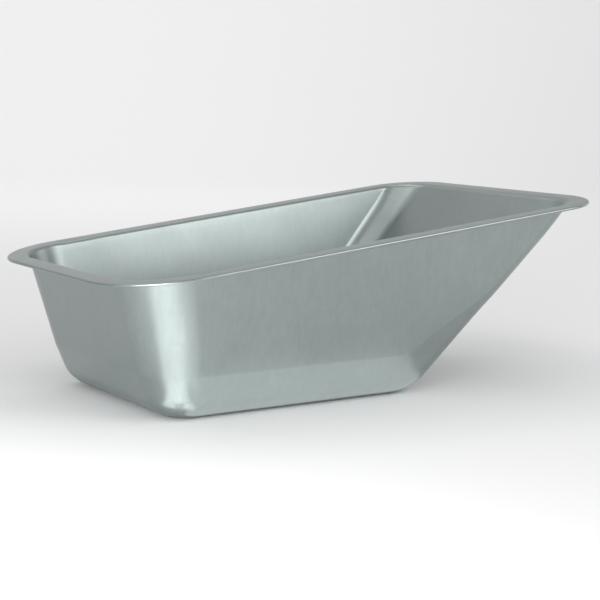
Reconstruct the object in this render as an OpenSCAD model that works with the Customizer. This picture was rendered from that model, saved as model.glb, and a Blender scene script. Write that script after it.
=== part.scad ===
// Deep-drawn steel pan with a sloping nose and a wired rim.
// +X runs from the rear wall to the nose, +Z is up, and the floor rests on z = 0.
// The origin is under the middle of the pan's bounding box.

/* [Floor and nose] */
// Length of the flat floor, from the sharp rear edge to the start of the nose curve
floor_len = 432; // [424:1:440]
// Width of the floor between the sharp lower edges of the side walls
floor_w = 400; // [380:2:420]
// Radius of the curve from the floor into the nose
nose_curve_r = 85; // [78:1:92]
// Angle of the nose above the horizontal
nose_angle = 46; // [45:0.5:47]

/* [Walls] */
// Lean of the rear wall out of the vertical
rear_lean = 16; // [13:0.5:18]
// Lean of the side walls out of the vertical
side_lean = 9.5; // [7:0.5:12]
// Lean of the end line that the nose corners are turned from
nose_corner_lean = 16; // [14:0.5:18]
// Length of the wall outline at floor height, out to that end line
outline_len = 700; // [694:1:706]
// Radius of the rear corners at floor height
rear_corner_r = 65; // [60:1:75]
// Radius of the nose corners at floor height
nose_corner_r = 48; // [44:1:56]
// Growth of the rear corner radius for each millimetre of height
rear_corner_growth = 0.14; // [0.12:0.01:0.16]
// Growth of the nose corner radius for each millimetre of height
nose_corner_growth = 0.1; // [0.08:0.01:0.13]

/* [Lower band] */
// Height of the crease round the rear wall and the side walls
band_h = 72; // [66:1:78]
// Distance that the band's foot sits inside the line of the wall
band_set_in = 8; // [4:0.5:10]
// Width of the band beside the upper nose
nose_band_w = 31; // [28:1:36]
// Distance up the nose at which the band starts to narrow
taper_start = 20; // [10:1:30]
// Distance up the nose at which the band has its narrow width
taper_end = 234; // [220:1:250]
// Reach of the rounded toe along the floor and up the band
toe_reach = 38; // [32:1:42]

/* [Rim] */
// Height of the rim's top face above the sharp rear edge of the floor
rim_h = 227; // [220:1:234]
// Slope of the rim, up towards the nose
rim_tilt = 6.3; // [5.5:0.1:7]
// Width of the rim from the line of the wall to the outside of the bead
rim_w = 34; // [30:1:38]
// Depth below the rim at which the wall starts to turn outward
bend_drop = 5; // [4:0.5:6]

/* [Sheet and wire] */
// Thickness of the sheet
sheet_t = 0.9; // [0.8:0.05:1.1]
// Diameter of the wire inside the rolled edge
wire_d = 2.8; // [2.5:0.1:3.2]
// Clearance between the wire and the sheet round it
wire_gap = 0.1; // [0.05:0.05:0.2]
// Angle that the sheet wraps round the wire
roll_angle = 300; // [270:10:300]

/* [Smoothness] */
// Steps in each rear corner
rear_steps = 10; // [6:1:14]
// Steps in each nose corner
nose_steps = 12; // [8:1:16]
// Steps in the rounded toe
toe_steps = 6; // [4:1:8]
// Steps in the rolled edge
roll_steps = 10; // [8:1:14]

/* [Hidden] */

// Slopes: sideways travel for each millimetre of height
rear_slope = tan(rear_lean);
side_slope = tan(side_lean);
end_slope = tan(nose_corner_lean);
rim_slope = tan(rim_tilt);

// Steps along the straight sides: on the floor, round the nose curve and up the nose
floor_steps = 3;
curve_steps = 4;
ramp_steps = 5;
// Steps in the bend between the wall and the flange
bend_steps = 3;
// Sides of the wire's cross-section
wire_sides = 8;
// Passes that close in on a crossing point
solve_passes = 24;
// Weight of the rounded toe's curve, close to a true quarter round
toe_weight = 0.75;
// Least depth of the toe's lower end below the bend
toe_clear = 4;

bead_r = wire_d / 2 + wire_gap + sheet_t;
rim_up = [-sin(rim_tilt), 0, cos(rim_tilt)];

// Sharp foot of the nose and the end of the nose curve
nose_foot = floor_len + nose_curve_r * tan(nose_angle / 2);
curve_end = floor_len + nose_curve_r * sin(nose_angle);

function unit(v) = v / norm(v);
function mix(a, b, t) = a * (1 - t) + b * t;
function clamp(v, low, high) = min(high, max(low, v));
function ease(t) = t * t * (3 - 2 * t);
function mirror_y(p) = [p.x, -p.y, p.z];

// --- Base: floor, nose curve and nose, as one profile along X ---

// Slope angle of the base at a place along X
function base_angle(x) =
    x >= curve_end ? nose_angle : asin(clamp((x - floor_len) / nose_curve_r, 0, 1));

// Height of the base at a place along X
function base_z(x) =
    x >= curve_end
    ? (x - nose_foot) * tan(nose_angle)
    : nose_curve_r * (1 - cos(base_angle(x)));

// Distance up the nose from its sharp foot, negative on the floor
function up_nose(x) = x < nose_foot ? x - nose_foot : (x - nose_foot) / cos(nose_angle);

// Width of the lower band at a place along X
function band_w(x) =
    mix(band_h / cos(side_lean), nose_band_w,
        ease(clamp((up_nose(x) - taper_start) / (taper_end - taper_start), 0, 1)));

// --- Walls: points on the near side, where y is negative ---

function rear_r(z) = rear_corner_r + rear_corner_growth * z;
function nose_r(z) = nose_corner_r + nose_corner_growth * z;

function side_y(z) = -(floor_w / 2 + side_slope * z);

// Rear corner, from angle 180 on the rear wall to 270 on the side wall
function rear_wall(angle, z) =
    let (r = rear_r(z))
    [-rear_slope * z + r + r * cos(angle), side_y(z) + r + r * sin(angle), z];

// Side wall and nose corner, by the distance along the wall from where the corner starts
function nose_turn(along, z) = clamp(along / nose_r(z) * 180 / PI, 0, 90) - 90;

function nose_wall(along, z) =
    let (
        r = nose_r(z),
        angle = nose_turn(along, z),
        cx = outline_len + end_slope * z - r
    )
    [cx + r * cos(angle) + min(along, 0), side_y(z) + r + r * sin(angle), z];

// Height at which the nose corner, at a turn of 0 to 90, stands on the base
function nose_foot_z(turn, z = 200, passes = solve_passes) =
    passes == 0 ? z :
    let (p = nose_wall(turn * PI / 180 * nose_r(z), z))
    nose_foot_z(turn, z + (base_z(p.x) - z) / 2, passes - 1);

// --- Stations round the near half ---
// Each is [foot, crease, rise of the wall, way in along the base, reach of the toe that way]

function rear_station(angle) =
    [
        rear_wall(angle, 0),
        rear_wall(angle, band_h),
        rear_wall(angle, band_h + 1) - rear_wall(angle, band_h),
        [-cos(angle), -sin(angle), 0],
        toe_reach
    ];

function side_station(x) =
    let (
        a = base_angle(x),
        w = band_w(x),
        z = base_z(x),
        crease_z = z + w * cos(a) * cos(side_lean)
    )
    [
        [x, side_y(z), z],
        [x - w * sin(a), side_y(crease_z), crease_z],
        [0, -side_slope, 1],
        [0, 1, 0],
        toe_reach
    ];

function nose_foot_point(turn) =
    let (z = nose_foot_z(turn))
    nose_wall(turn * PI / 180 * nose_r(z), z);

// Way in along the nose, straight across at a turn of 0 and straight down at 90
function nose_in(turn) =
    [-sin(turn) * cos(nose_angle), cos(turn), -sin(turn) * sin(nose_angle)];

// The toe reaches further down the nose than along the floor, to start below the bend
nose_reach = max(
    toe_reach,
    (above_bend(nose_foot_point(90) + nose_in(90) * band_set_in) + toe_clear)
        / (rim_slope * nose_in(90).x - nose_in(90).z)
);

function nose_station(turn) =
    let (
        foot = nose_foot_point(turn),
        climb = atan(tan(nose_angle) * cos(turn)),
        w = band_w(foot.x),
        z = foot.z + w * cos(climb) * cos(side_lean * cos(turn)),
        shift = (end_slope - nose_corner_growth) * (z - foot.z) * cos(turn),
        along = turn * PI / 180 * nose_r(foot.z) - w * sin(climb) - shift,
        angle = nose_turn(along, z)
    )
    [
        foot,
        nose_wall(along, z),
        [
            along > 0 ? end_slope - nose_corner_growth * (1 - cos(angle)) : 0,
            -side_slope + (along > 0 ? nose_corner_growth * (1 + sin(angle)) : 0),
            1
        ],
        nose_in(turn),
        mix(toe_reach, nose_reach, sin(turn) * sin(turn))
    ];

corner_x = nose_foot_point(0).x;
rear_foot_x = rear_wall(270, 0).x;

near_half = concat(
    [for (i = [0 : rear_steps]) rear_station(180 + 90 * i / rear_steps)],
    [for (i = [1 : floor_steps]) side_station(mix(rear_foot_x, floor_len, i / floor_steps))],
    [for (i = [1 : curve_steps]) side_station(mix(floor_len, curve_end, i / curve_steps))],
    [for (i = [1 : ramp_steps]) side_station(mix(curve_end, corner_x, i / ramp_steps))],
    [for (i = [1 : nose_steps]) nose_station(90 * i / nose_steps)]
);
half_n = len(near_half);
ring_n = 2 * half_n;

// --- Outside face of the sheet at one station, from the floor up to the start of the bend ---

// Height above the plane where the bend starts, which is parallel to the rim
function above_bend(p) =
    p.z - rim_h - rim_slope * p.x + (sheet_t + bend_drop) / cos(rim_tilt);

// Rounded toe for t below 1, then the flat of the band up to the crease at t = 2
function toe_point(station, t) =
    let (
        crease = station[1],
        corner = station[0] + station[3] * band_set_in,
        floor_end = corner + station[3] * station[4],
        band_len = norm(crease - corner),
        band_end = corner + (crease - corner) * min(toe_reach / band_len, 0.95),
        u = min(t, 1),
        a = (1 - u) * (1 - u),
        b = 2 * toe_weight * u * (1 - u),
        c = u * u
    )
    (a * floor_end + b * corner + c * band_end) / (a + b + c)
        + (crease - band_end) * max(t - 1, 0);

// Place on that curve where it meets the plane of the bend
function bend_t(station, low = 0, high = 2, passes = solve_passes) =
    let (mid = (low + high) / 2)
    passes == 0 ? mid :
    above_bend(toe_point(station, mid)) > 0
    ? bend_t(station, low, mid, passes - 1)
    : bend_t(station, mid, high, passes - 1);

function wall_points(station) =
    above_bend(station[1]) < 0
    ? let (rise = station[2], up = -above_bend(station[1]) / (rise.z - rim_slope * rise.x))
        concat(
            [for (i = [0 : toe_steps]) toe_point(station, i / toe_steps)],
            [station[1], station[1] + rise * up]
        )
    : let (top = bend_t(station), n = toe_steps + 2)
        [for (i = [0 : n]) toe_point(station, top * i / n)];

near_walls = [for (s = near_half) wall_points(s)];
walls = concat(
    near_walls,
    [for (i = [half_n - 1 : -1 : 0]) [for (p = near_walls[i]) mirror_y(p)]]
);
wall_n = len(walls[0]);

function next(i) = (i + 1) % ring_n;
function prev(i) = (i + ring_n - 1) % ring_n;

// --- Rim: the line where the wall would meet the underside of the flange ---

function rim_corner(i) =
    let (
        top = walls[i][wall_n - 1],
        rise = unit(top - walls[i][wall_n - 2])
    )
    top + rise * bend_drop / (rise * rim_up);

rim_line = [for (i = [0 : ring_n - 1]) rim_corner(i)];

// Way out of the pan in the plane of the rim
function rim_out(i) =
    unit(
        unit(cross(rim_line[i] - rim_line[prev(i)], rim_up))
        + unit(cross(rim_line[next(i)] - rim_line[i], rim_up))
    );

function bend_points(i) =
    let (
        start = walls[i][wall_n - 1],
        corner = rim_line[i],
        end = corner + rim_out(i) * norm(corner - start)
    )
    [
        for (k = [1 : bend_steps])
            let (u = k / bend_steps, a = (1 - u) * (1 - u), b = 1.5 * u * (1 - u), c = u * u)
            (a * start + b * corner + c * end) / (a + b + c)
    ];

outside = [for (i = [0 : ring_n - 1]) concat(walls[i], bend_points(i))];
side_n = len(outside[0]);

// Direction out of the sheet at a point of the outside face
function out_dir(i, j) =
    j == 0 ? [sin(base_angle(outside[i][0].x)), 0, -cos(base_angle(outside[i][0].x))] :
    j == side_n - 1 ? -rim_up :
    unit(cross(outside[next(i)][j] - outside[prev(i)][j], outside[i][j + 1] - outside[i][j - 1]));

inside = [
    for (i = [0 : ring_n - 1])
        [for (j = [0 : side_n - 1]) outside[i][j] - out_dir(i, j) * sheet_t]
];

// --- Rolled edge ---

// Centre of the bead at one station
function bead_centre(i) =
    rim_line[i] + rim_out(i) * (rim_w - bead_r) - rim_up * (bead_r - sheet_t);

// Point at an angle from the top of the bead, turning outward and down
function bead_point(i, r, angle) =
    bead_centre(i) + rim_out(i) * r * sin(angle) + rim_up * r * cos(angle);

function section(i) = concat(
    inside[i],
    [for (k = [0 : roll_steps]) bead_point(i, bead_r, roll_angle * k / roll_steps)],
    [for (k = [roll_steps : -1 : 0]) bead_point(i, bead_r - sheet_t, roll_angle * k / roll_steps)],
    [for (j = [side_n - 1 : -1 : 0]) outside[i][j]]
);

// --- Solids ---

// Two triangles for each square between neighbouring sections
function skin_faces(rings, count, closed) = [
    for (i = [0 : rings - 1], j = [0 : count - (closed ? 1 : 2)])
        let (
            a = i * count + j,
            b = ((i + 1) % rings) * count + j,
            c = ((i + 1) % rings) * count + (j + 1) % count,
            d = i * count + (j + 1) % count
        )
        each [[a, b, c], [a, c, d]]
];

// Flat strips across the base, from the near side to the far side
function strip_faces(count, j, upward) = [
    for (i = [0 : half_n - 2])
        let (
            a = i * count + j,
            b = (i + 1) * count + j,
            c = (ring_n - 2 - i) * count + j,
            d = (ring_n - 1 - i) * count + j
        )
        upward ? [a, d, c, b] : [a, b, c, d]
];

x_middle = (min([for (i = [0 : ring_n - 1]) bead_point(i, bead_r, 90).x])
    + max([for (i = [0 : ring_n - 1]) bead_point(i, bead_r, 90).x])) / 2;

// One sheet: floor, walls, nose, flange and rolled edge
module pan() {
    sections = [for (i = [0 : ring_n - 1]) section(i)];
    count = len(sections[0]);
    color([0.7, 0.71, 0.7])
        translate([-x_middle, 0, 0])
            polyhedron(
                points = [for (s = sections) each s],
                faces = concat(
                    skin_faces(ring_n, count, false),
                    strip_faces(count, 0, true),
                    strip_faces(count, count - 1, false)
                ),
                convexity = 6
            );
}

// Closed loop of wire inside the rolled edge
module rim_wire() {
    loops = [
        for (i = [0 : ring_n - 1])
            [for (k = [0 : wire_sides - 1]) bead_point(i, wire_d / 2, 360 * k / wire_sides)]
    ];
    color([0.55, 0.56, 0.56])
        translate([-x_middle, 0, 0])
            polyhedron(
                points = [for (s = loops) each s],
                faces = skin_faces(ring_n, wire_sides, true),
                convexity = 6
            );
}

pan();
rim_wire();
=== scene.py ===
"""Galvanised steel trough pan with a wired rim: the drawn sheet and the wire rolled into its edge.

The pan is rebuilt here from the same driving sizes as the CAD model, with a finer mesh and a
rounded crease, and it gets a galvanised finish. Lengths are in millimetres until to_metres().
"""
import math

import bpy
import numpy as np
from mathutils import Matrix, Vector


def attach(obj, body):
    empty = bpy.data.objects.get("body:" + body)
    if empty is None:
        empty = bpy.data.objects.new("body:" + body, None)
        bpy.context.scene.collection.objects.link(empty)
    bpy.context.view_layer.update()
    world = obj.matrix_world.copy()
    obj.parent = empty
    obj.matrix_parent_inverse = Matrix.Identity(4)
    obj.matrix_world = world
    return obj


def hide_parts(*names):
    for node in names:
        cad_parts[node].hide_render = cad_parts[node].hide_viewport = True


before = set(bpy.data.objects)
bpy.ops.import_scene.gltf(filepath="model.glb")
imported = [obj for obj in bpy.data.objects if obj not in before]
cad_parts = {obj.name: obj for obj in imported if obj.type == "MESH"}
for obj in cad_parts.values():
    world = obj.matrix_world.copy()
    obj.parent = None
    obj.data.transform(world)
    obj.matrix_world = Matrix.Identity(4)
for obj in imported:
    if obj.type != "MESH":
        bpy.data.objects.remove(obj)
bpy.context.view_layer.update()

# --- Driving sizes, in millimetres and degrees ---

FLOOR_LEN = 432
FLOOR_W = 400
NOSE_CURVE_R = 85
NOSE_ANGLE = math.radians(46)

REAR_SLOPE = math.tan(math.radians(16))
SIDE_LEAN = math.radians(9.5)
SIDE_SLOPE = math.tan(SIDE_LEAN)
END_SLOPE = math.tan(math.radians(16))
OUTLINE_LEN = 700
REAR_CORNER_R = 65
NOSE_CORNER_R = 48
REAR_CORNER_GROWTH = 0.14
NOSE_CORNER_GROWTH = 0.1

BAND_H = 72
BAND_SET_IN = 8
NOSE_BAND_W = 31
TAPER_START = 20
TAPER_END = 234
TOE_REACH = 38
TOE_WEIGHT = 0.75
TOE_CLEAR = 4

RIM_H = 227
RIM_TILT = math.radians(6.3)
RIM_SLOPE = math.tan(RIM_TILT)
RIM_UP = np.array([-math.sin(RIM_TILT), 0, math.cos(RIM_TILT)])
RIM_W = 34
BEND_DROP = 5
BEND_WEIGHT = 0.75

SHEET_T = 0.9
WIRE_D = 2.8
WIRE_GAP = 0.1
ROLL_ANGLE = math.radians(300)
BEAD_R = WIRE_D / 2 + WIRE_GAP + SHEET_T

# Height of the flange above the start of the bend, straight up
FLANGE_RISE = BEND_DROP / math.cos(RIM_TILT)
# Half the length over which the crease is rounded
CREASE_ROUND = 2.0
# Largest share of the band that the toe may take
MAX_TOE_SHARE = 0.95

# --- Fineness of the mesh ---

REAR_STEPS = 32
FLOOR_STEPS = 24
CURVE_STEPS = 20
RAMP_STEPS = 36
NOSE_STEPS = 48
CROSS_STEPS = 28
TOE_ROWS = 18
BAND_ROWS = 6
CREASE_ROWS = 6
WALL_ROWS = 16
BEND_ROWS = 8
FLANGE_ROWS = 4
ROLL_ROWS = 24
WIRE_SIDES = 20
SOLVE_PASSES = 40
SOLVE_START_Z = 200.0
SOFTEN_PASSES = 3
# Shares of the way to the top by which the toe ends and the crease's round starts and ends
TOE_BY, ROUND_START_BY, ROUND_END_BY = 0.8, 0.9, 0.95
# Length of wall for each unit of a station's height parameter above the crease
WALL_UNIT = 100

NOSE_FOOT = FLOOR_LEN + NOSE_CURVE_R * math.tan(NOSE_ANGLE / 2)
CURVE_END = FLOOR_LEN + NOSE_CURVE_R * math.sin(NOSE_ANGLE)


def unit(v):
    return v / np.linalg.norm(v, axis=-1, keepdims=True)


def mix(a, b, t):
    return a * (1 - t) + b * t


def clamp(v, low, high):
    return min(high, max(low, v))


def ease(t):
    return t * t * (3 - 2 * t)


def conic(a, b, c, weight, u):
    """Point at u, from 0 to 1, on the rounded corner that runs from a to c inside corner b."""
    wa, wb, wc = (1 - u) ** 2, 2 * weight * u * (1 - u), u * u
    return (wa * a + wb * b + wc * c) / (wa + wb + wc)


# --- Base: floor, nose curve and nose ---

def base_angle(x):
    if x >= CURVE_END:
        return NOSE_ANGLE
    return math.asin(clamp((x - FLOOR_LEN) / NOSE_CURVE_R, 0, 1))


def base_z(x):
    if x >= CURVE_END:
        return (x - NOSE_FOOT) * math.tan(NOSE_ANGLE)
    return NOSE_CURVE_R * (1 - math.cos(base_angle(x)))


def band_w(x):
    """Width of the lower band, which narrows up the nose."""
    up = x - NOSE_FOOT if x < NOSE_FOOT else (x - NOSE_FOOT) / math.cos(NOSE_ANGLE)
    t = ease(clamp((up - TAPER_START) / (TAPER_END - TAPER_START), 0, 1))
    return mix(BAND_H / math.cos(SIDE_LEAN), NOSE_BAND_W, t)


# --- Walls on the near side, where y is negative ---

def rear_r(z):
    return REAR_CORNER_R + REAR_CORNER_GROWTH * z


def nose_r(z):
    return NOSE_CORNER_R + NOSE_CORNER_GROWTH * z


def side_y(z):
    return -(FLOOR_W / 2 + SIDE_SLOPE * z)


def rear_wall(angle, z):
    """Rear corner, from half a turn on the rear wall to three quarters on the side wall."""
    r = rear_r(z)
    return np.array(
        [r * (1 + math.cos(angle)) - REAR_SLOPE * z, side_y(z) + r * (1 + math.sin(angle)), z]
    )


def nose_turn(along, z):
    return clamp(along / nose_r(z), 0, math.pi / 2) - math.pi / 2


def nose_wall(along, z):
    """Side wall and nose corner, by the distance along the wall from the start of the corner."""
    r = nose_r(z)
    angle = nose_turn(along, z)
    centre_x = OUTLINE_LEN + END_SLOPE * z - r
    return np.array(
        [
            centre_x + r * math.cos(angle) + min(along, 0),
            side_y(z) + r * (1 + math.sin(angle)),
            z,
        ]
    )


def nose_foot(turn):
    """Where the nose corner stands on the base."""
    z = SOLVE_START_Z
    for _ in range(SOLVE_PASSES):
        p = nose_wall(turn * nose_r(z), z)
        z += (base_z(p[0]) - z) / 2
    return nose_wall(turn * nose_r(z), z)


# --- Stations: foot, crease, rise of the wall, way in along the base, reach of the toe that way ---

def rear_station(angle):
    crease = rear_wall(angle, BAND_H)
    rise = rear_wall(angle, BAND_H + 1) - crease
    inward = np.array([-math.cos(angle), -math.sin(angle), 0])
    return rear_wall(angle, 0), crease, unit(rise), inward, TOE_REACH


def side_station(x):
    a = base_angle(x)
    w = band_w(x)
    z = base_z(x)
    crease_z = z + w * math.cos(a) * math.cos(SIDE_LEAN)
    return (
        np.array([x, side_y(z), z]),
        np.array([x - w * math.sin(a), side_y(crease_z), crease_z]),
        unit(np.array([0, -SIDE_SLOPE, 1])),
        np.array([0.0, 1, 0]),
        TOE_REACH,
    )


def nose_in(turn):
    """Way in along the nose, straight across at no turn and straight down at a quarter turn."""
    return np.array(
        [
            -math.sin(turn) * math.cos(NOSE_ANGLE),
            math.cos(turn),
            -math.sin(turn) * math.sin(NOSE_ANGLE),
        ]
    )


def above_bend(p):
    """Height above the plane where the wall starts to turn out into the flange."""
    return p[2] - RIM_H - RIM_SLOPE * p[0] + (SHEET_T + BEND_DROP) / math.cos(RIM_TILT)


def middle_reach():
    """Reach of the toe at the middle of the nose, where it has to start below the bend."""
    inward = nose_in(math.pi / 2)
    corner = nose_foot(math.pi / 2) + inward * BAND_SET_IN
    return (above_bend(corner) + TOE_CLEAR) / (RIM_SLOPE * inward[0] - inward[2])


NOSE_REACH = max(TOE_REACH, middle_reach())


def nose_station(turn):
    foot = nose_foot(turn)
    climb = math.atan(math.tan(NOSE_ANGLE) * math.cos(turn))
    w = band_w(foot[0])
    z = foot[2] + w * math.cos(climb) * math.cos(SIDE_LEAN * math.cos(turn))
    shift = (END_SLOPE - NOSE_CORNER_GROWTH) * (z - foot[2]) * math.cos(turn)
    along = turn * nose_r(foot[2]) - w * math.sin(climb) - shift
    angle = nose_turn(along, z)
    on_corner = along > 0
    rise = np.array(
        [
            END_SLOPE - NOSE_CORNER_GROWTH * (1 - math.cos(angle)) if on_corner else 0,
            -SIDE_SLOPE + (NOSE_CORNER_GROWTH * (1 + math.sin(angle)) if on_corner else 0),
            1,
        ]
    )
    reach = mix(TOE_REACH, NOSE_REACH, math.sin(turn) ** 2)
    return foot, nose_wall(along, z), unit(rise), nose_in(turn), reach


def spread(start, end, steps):
    """Values after start, up to end."""
    return [mix(start, end, i / steps) for i in range(1, steps + 1)]


def near_stations():
    quarter = math.pi / 2
    rear_foot_x = rear_wall(3 * quarter, 0)[0]
    corner_x = nose_foot(0)[0]
    angles = [2 * quarter, *spread(2 * quarter, 3 * quarter, REAR_STEPS)]
    places = [
        *spread(rear_foot_x, FLOOR_LEN, FLOOR_STEPS),
        *spread(FLOOR_LEN, CURVE_END, CURVE_STEPS),
        *spread(CURVE_END, corner_x, RAMP_STEPS),
    ]
    return [
        *(rear_station(a) for a in angles),
        *(side_station(x) for x in places),
        *(nose_station(t) for t in spread(0, quarter, NOSE_STEPS)),
    ]


# --- Outside face of the sheet at one station ---

def profile_point(station, t):
    """Outside face at one station: t up to 1 is the toe, up to 2 the band, and then the wall."""
    foot, crease, rise, inward, reach = station
    corner = foot + inward * BAND_SET_IN
    band_len = np.linalg.norm(crease - corner)
    band_end = corner + (crease - corner) * min(TOE_REACH / band_len, MAX_TOE_SHARE)
    if t <= 1:
        return conic(corner + inward * reach, corner, band_end, TOE_WEIGHT, t)
    flat_len = np.linalg.norm(crease - band_end)
    up = (t - 2) * (flat_len if t < 2 else WALL_UNIT)
    half = min(CREASE_ROUND, flat_len)
    below, above = unit(crease - band_end), rise
    if abs(up) < half:
        u = (up + half) / (2 * half)
        return conic(crease - below * half, crease, crease + above * half, 1, u)
    return crease + (below if up < 0 else above) * up


def reach_height(station, height):
    """The t at which the outside face is at a height above the start of the bend."""
    low, high = 0.0, 2 + RIM_H / WALL_UNIT
    for _ in range(SOLVE_PASSES):
        mid = (low + high) / 2
        if above_bend(profile_point(station, mid)) > height:
            high = mid
        else:
            low = mid
    return (low + high) / 2


def row_places(station, top):
    """The t of each row, closest together on the toe and round the crease."""
    foot, crease, _, inward, _ = station
    flat_len = np.linalg.norm(crease - foot - inward * BAND_SET_IN) - TOE_REACH
    near_crease = CREASE_ROUND / max(flat_len, 2 * CREASE_ROUND)
    toe_end = min(1, TOE_BY * top)
    round_start = min(2 - near_crease, ROUND_START_BY * top)
    round_end = min(2 + CREASE_ROUND / WALL_UNIT, ROUND_END_BY * top)
    return [
        0,
        *spread(0, toe_end, TOE_ROWS),
        *spread(toe_end, round_start, BAND_ROWS),
        *spread(round_start, round_end, CREASE_ROWS),
        *spread(round_end, top, WALL_ROWS),
    ]


def rim_corner(station, rows):
    """Where the outside face would meet the flange, run on straight if the crease is higher."""
    if above_bend(station[1]) < FLANGE_RISE:
        return profile_point(station, reach_height(station, FLANGE_RISE))
    rise = unit(rows[-1] - rows[-2])
    return rows[-1] + rise * BEND_DROP / (rise @ RIM_UP)


def station_rows(station):
    """Points up the outside face to the start of the bend, and the corner of the bend."""
    top = reach_height(station, 0)
    rows = [profile_point(station, t) for t in row_places(station, top)]
    return np.array([*rows, rim_corner(station, rows)])


MIRROR_Y = np.array([1, -1, 1])


def wall_ring():
    """Faces and bend corners all round, from the near half on, and how many the near half has."""
    near = np.array([station_rows(s) for s in near_stations()])
    far = near[::-1] * MIRROR_Y
    across = [j / CROSS_STEPS for j in range(1, CROSS_STEPS)]
    nose = np.array([mix(near[-1], far[0], t) for t in across])
    rear = np.array([mix(far[-1], near[0], t) for t in across])
    ring = np.concatenate([near, nose, far, rear])
    return ring[:, :-1], ring[:, -1], len(near)


def around(a):
    """From the station before to the station after, at every station of the closed ring."""
    return np.roll(a, -1, axis=0) - np.roll(a, 1, axis=0)


def softened(line):
    """A closed line with each point drawn a little towards its neighbours."""
    for _ in range(SOFTEN_PASSES):
        line = (np.roll(line, 1, axis=0) + 2 * line + np.roll(line, -1, axis=0)) / 4
    return line


def outside_rows(walls, line, out):
    """The outside face with the bend into the flange added."""
    start = walls[:, -1]
    end = line + out * np.linalg.norm(line - start, axis=1)[:, None]
    bend = [conic(start, line, end, BEND_WEIGHT, u) for u in spread(0, 1, BEND_ROWS)]
    return np.concatenate([walls, np.stack(bend, axis=1)], axis=1)


def face_normals(rows):
    """Way out of the sheet at every point of the outside face."""
    along = around(rows)
    up = np.empty_like(rows)
    up[:, 1:-1] = rows[:, 2:] - rows[:, :-2]
    up[:, 0] = rows[:, 1] - rows[:, 0]
    up[:, -1] = rows[:, -1] - rows[:, -2]
    normals = unit(np.cross(along, up))
    angles = np.array([base_angle(x) for x in rows[:, 0, 0]])
    normals[:, 0] = np.stack([np.sin(angles), 0 * angles, -np.cos(angles)], axis=1)
    normals[:, -1] = -RIM_UP
    return normals


def roll(centre, out, r, angles):
    """Points of the rolled edge, turning outward and down from the top."""
    return np.stack(
        [centre + out * r * math.sin(a) + RIM_UP * r * math.cos(a) for a in angles], axis=1
    )


def between(a, b, steps):
    """The points strictly between two rings of points."""
    return np.stack([mix(a, b, i / steps) for i in range(1, steps)], axis=1)


def pan_sections():
    """Outline of the sheet at every station, from the floor's top to its underside.

    The number of near stations, the bead's centre and the way out of the pan come with it.
    """
    walls, line, near_count = wall_ring()
    line = softened(line)
    out = unit(np.cross(around(line), RIM_UP))
    outside = outside_rows(walls, line, out)
    inside = outside - face_normals(outside) * SHEET_T
    centre = line + out * (RIM_W - BEAD_R) - RIM_UP * (BEAD_R - SHEET_T)
    angles = [ROLL_ANGLE * k / ROLL_ROWS for k in range(ROLL_ROWS + 1)]
    outer = roll(centre, out, BEAD_R, angles)
    inner = roll(centre, out, BEAD_R - SHEET_T, angles)[:, ::-1]
    sections = np.concatenate(
        [
            inside,
            between(inside[:, -1], outer[:, 0], FLANGE_ROWS),
            outer,
            inner,
            between(inner[:, -1], outside[:, -1], FLANGE_ROWS),
            outside[:, ::-1],
        ],
        axis=1,
    )
    return sections, near_count, centre, out


# --- Meshes ---

def to_metres(points, x_middle):
    return (points - np.array([x_middle, 0, 0])) / 1000


def ring_faces(rings, count, closed):
    """Squares between neighbouring sections of a closed ring."""
    faces = []
    for i in range(rings):
        a, b = i * count, (i + 1) % rings * count
        for j in range(count if closed else count - 1):
            k = (j + 1) % count
            faces.append((a + j, b + j, b + k, a + k))
    return faces


def base_grid(sections, near_count, row, first_new):
    """Ring vertices and new points that fill one face of the base, and its squares."""
    rings, count = sections.shape[:2]
    points, ids = [], []
    for i in range(near_count):
        far = near_count + CROSS_STEPS - 1 + (near_count - 1 - i)
        if i == near_count - 1:
            line = list(range(i, far + 1))
        elif i == 0:
            line = [0, *range(rings - 1, far, -1), far]
        else:
            line = [i]
            for j in range(1, CROSS_STEPS):
                points.append(mix(sections[i, row], sections[far, row], j / CROSS_STEPS))
                line.append(None)
            line.append(far)
        ids.append([None if n is None else n * count + row for n in line])
    new_id = first_new
    for line in ids:
        for j, known in enumerate(line):
            if known is None:
                line[j] = new_id
                new_id += 1
    squares = [
        (ids[i][j], ids[i][j + 1], ids[i + 1][j + 1], ids[i + 1][j])
        for i in range(near_count - 1)
        for j in range(CROSS_STEPS)
    ]
    return points, squares


def make_object(name, points, faces, sharp_angle=50):
    """A smooth-shaded object, with edges sharper than an angle in degrees kept sharp."""
    mesh = bpy.data.meshes.new(name)
    mesh.from_pydata([tuple(p) for p in points], [], faces)
    mesh.validate()
    mesh.shade_smooth()
    mesh.set_sharp_from_angle(angle=math.radians(sharp_angle))
    piece = bpy.data.objects.new(name, mesh)
    bpy.context.scene.collection.objects.link(piece)
    return piece


def build_pan(sections, near_count, x_middle):
    rings, count = sections.shape[:2]
    points = list(sections.reshape(-1, 3))
    faces = ring_faces(rings, count, False)
    top_points, top_faces = base_grid(sections, near_count, 0, len(points))
    points += top_points
    low_points, low_faces = base_grid(sections, near_count, count - 1, len(points))
    points += low_points
    faces += [f[::-1] for f in top_faces]
    faces += low_faces
    return make_object("drawn_pan", to_metres(np.array(points), x_middle), faces)


def build_wire(centre, out, x_middle):
    angles = [2 * math.pi * k / WIRE_SIDES for k in range(WIRE_SIDES)]
    loops = roll(centre, out, WIRE_D / 2, angles)
    faces = ring_faces(len(loops), WIRE_SIDES, True)
    return make_object("rim_wire_round", to_metres(loops.reshape(-1, 3), x_middle), faces)


# --- Materials ---

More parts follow.
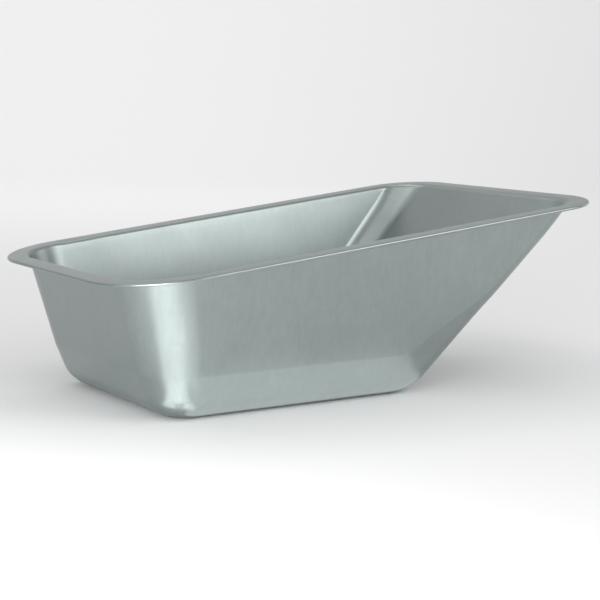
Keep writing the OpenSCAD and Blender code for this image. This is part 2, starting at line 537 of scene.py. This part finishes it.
class Shader:
    """A material's node tree, with short ways to add and join nodes."""

    def __init__(self, name):
        self.material = bpy.data.materials.new(name)
        self.material.use_nodes = True
        self.tree = self.material.node_tree
        self.surface = self.tree.nodes["Principled BSDF"]

    def add(self, kind, **settings):
        node = self.tree.nodes.new("ShaderNode" + kind)
        for key, value in settings.items():
            setattr(node, key, value)
        return node

    def join(self, output, socket):
        self.tree.links.new(output, socket)

    def coordinates(self, scale):
        source = self.add("TexCoord")
        mapping = self.add("Mapping")
        mapping.inputs["Scale"].default_value = scale
        self.join(source.outputs["Object"], mapping.inputs["Vector"])
        return mapping.outputs["Vector"]

    def noise(self, scale, detail=3.0, roughness=0.55, distortion=0.0):
        node = self.add("TexNoise")
        node.inputs["Scale"].default_value = 1
        node.inputs["Detail"].default_value = detail
        node.inputs["Roughness"].default_value = roughness
        node.inputs["Distortion"].default_value = distortion
        self.join(self.coordinates(scale), node.inputs["Vector"])
        return node.outputs["Fac"]

    def grains(self, scale):
        """Random brightness for each crystal of the zinc."""
        node = self.add("TexVoronoi")
        node.inputs["Scale"].default_value = 1
        self.join(self.coordinates(scale), node.inputs["Vector"])
        split = self.add("SeparateColor")
        self.join(node.outputs["Color"], split.inputs["Color"])
        return split.outputs["Red"]

    def spread(self, value, low, high):
        """A value from 0 to 1, moved to the range from low to high."""
        node = self.add("MapRange")
        node.inputs["To Min"].default_value = low
        node.inputs["To Max"].default_value = high
        self.join(value, node.inputs["Value"])
        return node.outputs["Result"]

    def calc(self, operation, a, b):
        node = self.add("Math", operation=operation)
        for value, socket in zip((a, b), node.inputs):
            if isinstance(value, (int, float)):
                socket.default_value = value
            else:
                self.join(value, socket)
        return node.outputs["Value"]

    def bump(self, height, distance, normal=None):
        node = self.add("Bump")
        node.inputs["Distance"].default_value = distance
        self.join(height, node.inputs["Height"])
        if normal is not None:
            self.join(normal, node.inputs["Normal"])
        return node.outputs["Normal"]


def zinc(name, tone, tint, roughness):
    """Satin zinc: soft mottling, faint crystals, fine lines up the walls and slight waves."""
    s = Shader(name)
    s.surface.inputs["Metallic"].default_value = 1
    mottle = s.noise((16, 16, 12), detail=4)
    streaks = s.noise((240, 240, 7), detail=3, roughness=0.6)
    hairs = s.noise((900, 900, 16), detail=2)
    crystals = s.grains((95, 95, 60))
    shade = s.spread(mottle, -0.02, 0.02)
    shade = s.calc("ADD", shade, s.spread(streaks, -0.025, 0.025))
    shade = s.calc("ADD", shade, s.spread(crystals, -0.006, 0.006))
    bright = s.calc("ADD", shade, tone)
    colour = s.add("CombineColor")
    for channel, share in zip(("Red", "Green", "Blue"), tint):
        s.join(s.calc("MULTIPLY", bright, share), colour.inputs[channel])
    s.join(colour.outputs["Color"], s.surface.inputs["Base Color"])
    rough = s.calc("ADD", s.spread(mottle, -0.06, 0.06), s.spread(hairs, -0.05, 0.05))
    rough = s.calc("ADD", rough, roughness)
    s.join(rough, s.surface.inputs["Roughness"])
    waves = s.noise((7, 7, 6), detail=1)
    normal = s.bump(waves, distance=0.0012)
    normal = s.bump(streaks, distance=0.00003, normal=normal)
    normal = s.bump(hairs, distance=0.000008, normal=normal)
    s.join(normal, s.surface.inputs["Normal"])
    return s.material


def pale_floor():
    s = Shader("pale_floor")
    s.surface.inputs["Base Color"].default_value = (0.86, 0.86, 0.86, 1)
    s.surface.inputs["Roughness"].default_value = 0.9
    s.surface.inputs["Specular IOR Level"].default_value = 0.1
    return s.material


# --- Studio ---

# Metres from here on
PAN_MIDDLE_Z = 0.15
FLOOR_FLAT_R = 5.0
FLOOR_CURVE_R = 3.0
FLOOR_CURVE_ANGLE = math.radians(80)
FLOOR_CURVE_STEPS = 16
FLOOR_TURNS = 64
# Gap that keeps the floor clear of the pan's underside
FLOOR_DROP = 0.0004

# Light panels lie a little above the floor
PANEL_Z = 0.003
# The fan of panels starts beside the near rear corner, and is straight for a while
FAN_START = Vector((-0.33, -0.184))
FAN_PANELS = 7
FAN_STEP = 0.06
FAN_START_W = 0.07
FAN_STRAIGHT = 0.03

BACKDROP_LIGHT_AT = Vector((1.0, 3.0, 4.5))
BACKDROP_LIGHT_TO = Vector((2.6, 6.5, 0.8))
WORLD_STRENGTH = 0.58

CAMERA_AT = Vector((-1.3615, -2.1119, 0.504))
CAMERA_YAW = math.radians(-32.954)
CAMERA_PITCH = math.radians(-8.255)
CAMERA_TILT = math.radians(0.611)
CAMERA_LENS = 90
CAMERA_SENSOR_W = 36
CAMERA_CLIP_END = 100


def floor_circle(r, z):
    turn = 2 * math.pi / FLOOR_TURNS
    return [(r * math.cos(turn * k), r * math.sin(turn * k), z) for k in range(FLOOR_TURNS)]


def build_floor():
    """A flat floor that curves up far away, so that no horizon shows."""
    outline = [(r, 0.0) for r in (1.0, 2.5, FLOOR_FLAT_R)]
    outline += [
        (FLOOR_FLAT_R + FLOOR_CURVE_R * math.sin(a), FLOOR_CURVE_R * (1 - math.cos(a)))
        for a in spread(0, FLOOR_CURVE_ANGLE, FLOOR_CURVE_STEPS)
    ]
    points = [(0, 0, -FLOOR_DROP)]
    for r, z in outline:
        points += floor_circle(r, z - FLOOR_DROP)
    turns = FLOOR_TURNS
    faces = [(0, 1 + k, 1 + (k + 1) % turns) for k in range(turns)]
    for i in range(len(outline) - 1):
        a = 1 + i * turns
        faces += [
            (a + k, a + turns + k, a + turns + (k + 1) % turns, a + (k + 1) % turns)
            for k in range(turns)
        ]
    floor = make_object("studio_floor", points, faces, 60)
    floor.data.materials.append(pale_floor())


def add_lamp(name, size, power, place, facing_from):
    """A rectangular light with its back to facing_from. The camera doesn't see it."""
    light = bpy.data.lights.new(name, "AREA")
    light.shape = "RECTANGLE"
    light.size, light.size_y = size
    light.energy = power
    lamp = bpy.data.objects.new(name, light)
    lamp.location = place
    lamp.rotation_euler = facing_from.to_track_quat("Z", "Y").to_euler()
    lamp.visible_camera = False
    bpy.context.scene.collection.objects.link(lamp)
    return lamp


def softbox(name, azimuth, elevation, distance, size, power):
    """A softbox that faces the pan. Azimuth 0 is behind the viewer at -Y, 90 is at +X."""
    a, e = math.radians(azimuth), math.radians(elevation)
    away = Vector((math.sin(a) * math.cos(e), -math.cos(a) * math.cos(e), math.sin(e)))
    add_lamp(name, size, power, away * distance + Vector((0, 0, PAN_MIDDLE_Z)), away)


def floor_panel(name, x, y, turn, size, power):
    """A light panel flush with the floor that faces up, which the outside walls mirror."""
    panel = add_lamp(name, size, power, Vector((x, y, PANEL_Z)), Vector((0, 0, -1)))
    panel.rotation_euler = (math.pi, 0, math.radians(turn))


def corner_fan(name, azimuth, half_angle, radiance):
    """Panels that widen away from the near rear corner, so its highlight keeps its width."""
    a, widening = math.radians(azimuth), 2 * math.tan(math.radians(half_angle))
    away = Vector((math.sin(a), -math.cos(a)))
    for i in range(FAN_PANELS):
        reach = (i + 0.5) * FAN_STEP
        width = FAN_START_W + max(reach - FAN_STRAIGHT, 0) * widening
        x, y = FAN_START + away * reach
        power = radiance * math.pi * FAN_STEP * width
        floor_panel(f"{name}_{i + 1}", x, y, azimuth + 90, (FAN_STEP, width), power)


def build_lights():
    softbox("right_front_box", 30, 32, 3.0, (1.6, 1.2), 16)
    softbox("right_low_box", 30, 10, 3.0, (1.3, 1.0), 11.5)
    softbox("left_low_box", -52, 5, 1.6, (0.8, 0.3), 16)
    softbox("high_box", -75, 64, 3.0, (2.6, 1.6), 10)
    softbox("far_right_box", 85, 18, 3.0, (1.3, 1.0), 5)
    softbox("back_high_box", -138, 56, 3.0, (0.9, 0.7), 3)
    corner_fan("corner_panel", -36, 25, 1.5)
    corner_fan("corner_edge_panel", -18, 38, 0.55)
    floor_panel("side_panel", -0.08, -0.245, 0, (0.46, 0.14), 0.1)
    floor_panel("rear_panel", -0.385, 0.12, 0, (0.05, 0.45), 0.006)
    back = BACKDROP_LIGHT_AT - BACKDROP_LIGHT_TO
    add_lamp("backdrop_light", (3.0, 1.5), 110, BACKDROP_LIGHT_AT, back)
    world = bpy.data.worlds.new("studio_air")
    world.use_nodes = True
    background = world.node_tree.nodes["Background"]
    background.inputs["Color"].default_value = (1, 1, 1, 1)
    background.inputs["Strength"].default_value = WORLD_STRENGTH
    bpy.context.scene.world = world
    bpy.context.scene.view_settings.view_transform = "Standard"


def build_camera():
    data = bpy.data.cameras.new("camera")
    data.lens, data.sensor_width = CAMERA_LENS, CAMERA_SENSOR_W
    data.clip_end = CAMERA_CLIP_END
    camera = bpy.data.objects.new("camera", data)
    look = Matrix.Rotation(math.pi / 2 + CAMERA_PITCH, 4, "X")
    turn = Matrix.Rotation(CAMERA_YAW, 4, "Z") @ look @ Matrix.Rotation(CAMERA_TILT, 4, "Z")
    camera.matrix_world = Matrix.Translation(CAMERA_AT) @ turn
    bpy.context.scene.collection.objects.link(camera)
    bpy.context.scene.camera = camera


build_camera()
sections, near_count, bead_centre, rim_out = pan_sections()
bead_side = (bead_centre + rim_out * BEAD_R)[:, 0]
x_middle = (bead_side.min() + bead_side.max()) / 2
pan = build_pan(sections, near_count, x_middle)
wire = build_wire(bead_centre, rim_out, x_middle)

sheet = zinc("galvanised_sheet", tone=0.36, tint=(0.88, 1, 0.985), roughness=0.34)
pan.data.materials.append(sheet)
steel = zinc("steel_wire", tone=0.34, tint=(1, 1, 0.99), roughness=0.42)
wire.data.materials.append(steel)
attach(pan, "root")
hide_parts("pan")
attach(wire, "root")
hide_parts("rim_wire")

build_floor()
build_lights()
